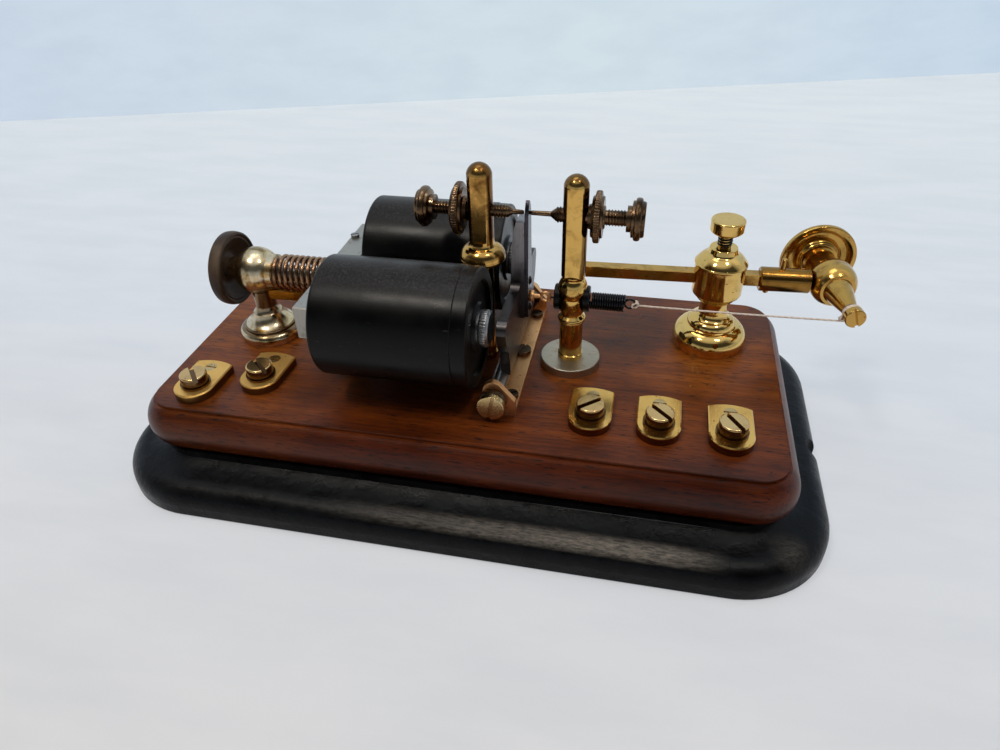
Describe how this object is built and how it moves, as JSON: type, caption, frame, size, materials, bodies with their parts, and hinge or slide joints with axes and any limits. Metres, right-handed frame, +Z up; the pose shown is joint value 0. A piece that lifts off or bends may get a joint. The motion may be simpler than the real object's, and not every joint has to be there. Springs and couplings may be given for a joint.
{
  "type": "telegraph sounder",
  "caption": "Telegraph sounder on a moulded wood and iron base: twin-coil electromagnet on a screw-adjusted slide, armature between contact screws, thread-wound tension spring.",
  "frame": {"origin": "centre of the iron base's underside", "axes": "+X along the base towards the winding peg, +Y to the back, +Z up"},
  "size_m": [0.2414, 0.1278, 0.1],
  "materials": {
    "iron": "black japanned cast iron, satin, worn at the front edge",
    "wood": "satin varnished mahogany",
    "brass": "polished and lacquered brass",
    "dark_brass": "brass darkened by age",
    "strip_brass": "brushed brass strip",
    "nickel": "worn nickel plate over brass",
    "steel": "ground steel",
    "soft_iron": "filed soft iron",
    "ebonite": "polished ebonite",
    "knob": "dark turned ebonite",
    "winding": "silk covered copper wire",
    "spring": "phosphor bronze spring wire",
    "black_spring": "blackened steel wire",
    "thread": "silk thread"
  },
  "bodies": {
    "base": {"iron_base": "iron", "mahogany_plinth": "wood", "plinth_screws": "steel", "post_nuts": "brass", "terminal_plates": "brass", "terminal_fixing_screws": "steel", "terminal_washers": "brass", "trunnion_bracket": "strip_brass", "bracket_screws": "steel", "trunnion_screws": "steel", "trunnion_locknuts": "brass", "left_contact_post": "dark_brass", "right_contact_post": "brass", "right_post_foot": "dark_brass", "spring_bush": "ebonite", "adjuster_post": "nickel", "tension_post": "brass", "carriage_screws": "steel"},
    "magnet": {"core_front": "soft_iron", "core_back": "soft_iron", "bobbin_front": "ebonite", "bobbin_back": "ebonite", "winding_front": "winding", "winding_back": "winding", "coil_sleeve_front": "ebonite", "coil_sleeve_back": "ebonite", "yoke_bar": "steel", "yoke_screws": "steel", "magnet_carriage": "brass", "guide_rod": "brass", "magnet_spring": "spring"},
    "magnet_knob": {"adjuster_knob": "knob", "adjuster_screw": "nickel"},
    "armature": {"armature_plate": "soft_iron", "armature_tongue": "dark_brass", "armature_rivets": "dark_brass", "armature_axle": "soft_iron", "spring_hook": "brass"},
    "left_screw": {"left_contact_screw": "dark_brass"},
    "right_screw": {"right_contact_screw": "dark_brass"},
    "left_nut": {"left_locknut": "dark_brass"},
    "right_nut": {"right_locknut": "dark_brass"},
    "tension_arm": {"tension_bar": "brass", "winder_sleeve": "brass", "sleeve_pins": "steel", "winder_elbow": "brass", "tension_spring": "black_spring", "tension_thread": "thread"},
    "winding_peg": {"winding_knob": "brass", "winding_spindle": "steel", "winding_screw": "steel"},
    "arm_clamp": {"clamp_screw": "brass"},
    "terminal_1": {"terminal_screw_1": "brass"},
    "terminal_2": {"terminal_screw_2": "brass"},
    "terminal_3": {"terminal_screw_3": "brass"},
    "terminal_4": {"terminal_screw_4": "brass"},
    "terminal_5": {"terminal_screw_5": "brass"}
  },
  "joints": [
    {"name": "magnet_slide", "type": "slide", "parent": "base", "child": "magnet", "axis": [1, 0, 0], "range_m": [-0.0021, 0.0007], "deforming": ["magnet_spring"]},
    {"name": "magnet_knob_turn", "type": "hinge", "parent": "base", "child": "magnet_knob", "pos_m": [-0.0776, 0, 0.0575], "axis": [1, 0, 0], "range_deg": [-360, 1080]},
    {"name": "armature_rock", "type": "hinge", "parent": "base", "child": "armature", "pos_m": [0.0128, 0, 0.038], "axis": [0, 1, 0], "range_deg": [-0.7, 0], "stiffness_Nm_per_rad": 0.05, "springref_deg": 5.73},
    {"name": "left_contact_turn", "type": "hinge", "parent": "base", "child": "left_screw", "pos_m": [0.0033, 0, 0.0853], "axis": [1, 0, 0], "range_deg": [-180, 180]},
    {"name": "right_contact_turn", "type": "hinge", "parent": "base", "child": "right_screw", "pos_m": [0.0323, 0, 0.0853], "axis": [1, 0, 0], "range_deg": [-180, 180]},
    {"name": "left_locknut_turn", "type": "hinge", "parent": "base", "child": "left_nut", "pos_m": [-0.003, 0, 0.0853], "axis": [1, 0, 0], "range_deg": [-180, 180]},
    {"name": "right_locknut_turn", "type": "hinge", "parent": "base", "child": "right_nut", "pos_m": [0.0386, 0, 0.0853], "axis": [1, 0, 0], "range_deg": [-180, 180]},
    {"name": "tension_slide", "type": "slide", "parent": "base", "child": "tension_arm", "axis": [0.9989, 0.0471, 0], "range_m": [-0.002, 0.008], "deforming": ["tension_spring"]},
    {"name": "winding_peg_turn", "type": "hinge", "parent": "tension_arm", "child": "winding_peg", "pos_m": [0.11406, 0.02268, 0.0575], "axis": [0.1547, -0.988, 0], "continuous": true},
    {"name": "clamp_screw_turn", "type": "hinge", "parent": "base", "child": "arm_clamp", "pos_m": [0.0784, 0.021, 0.072], "axis": [0, 0, 1], "range_deg": [-180, 180]},
    {"name": "terminal_lift_1", "type": "slide", "parent": "base", "child": "terminal_1", "axis": [0, 0, 1], "range_m": [0, 0.003]},
    {"name": "terminal_lift_2", "type": "slide", "parent": "base", "child": "terminal_2", "axis": [0, 0, 1], "range_m": [0, 0.003]},
    {"name": "terminal_lift_3", "type": "slide", "parent": "base", "child": "terminal_3", "axis": [0, 0, 1], "range_m": [0, 0.003]},
    {"name": "terminal_lift_4", "type": "slide", "parent": "base", "child": "terminal_4", "axis": [0, 0, 1], "range_m": [0, 0.003]},
    {"name": "terminal_lift_5", "type": "slide", "parent": "base", "child": "terminal_5", "axis": [0, 0, 1], "range_m": [0, 0.003]}
  ],
  "couplings": [
    {"joint": "magnet_knob_turn", "follows": "magnet_slide", "rad_per_m": -8975.9}
  ]
}
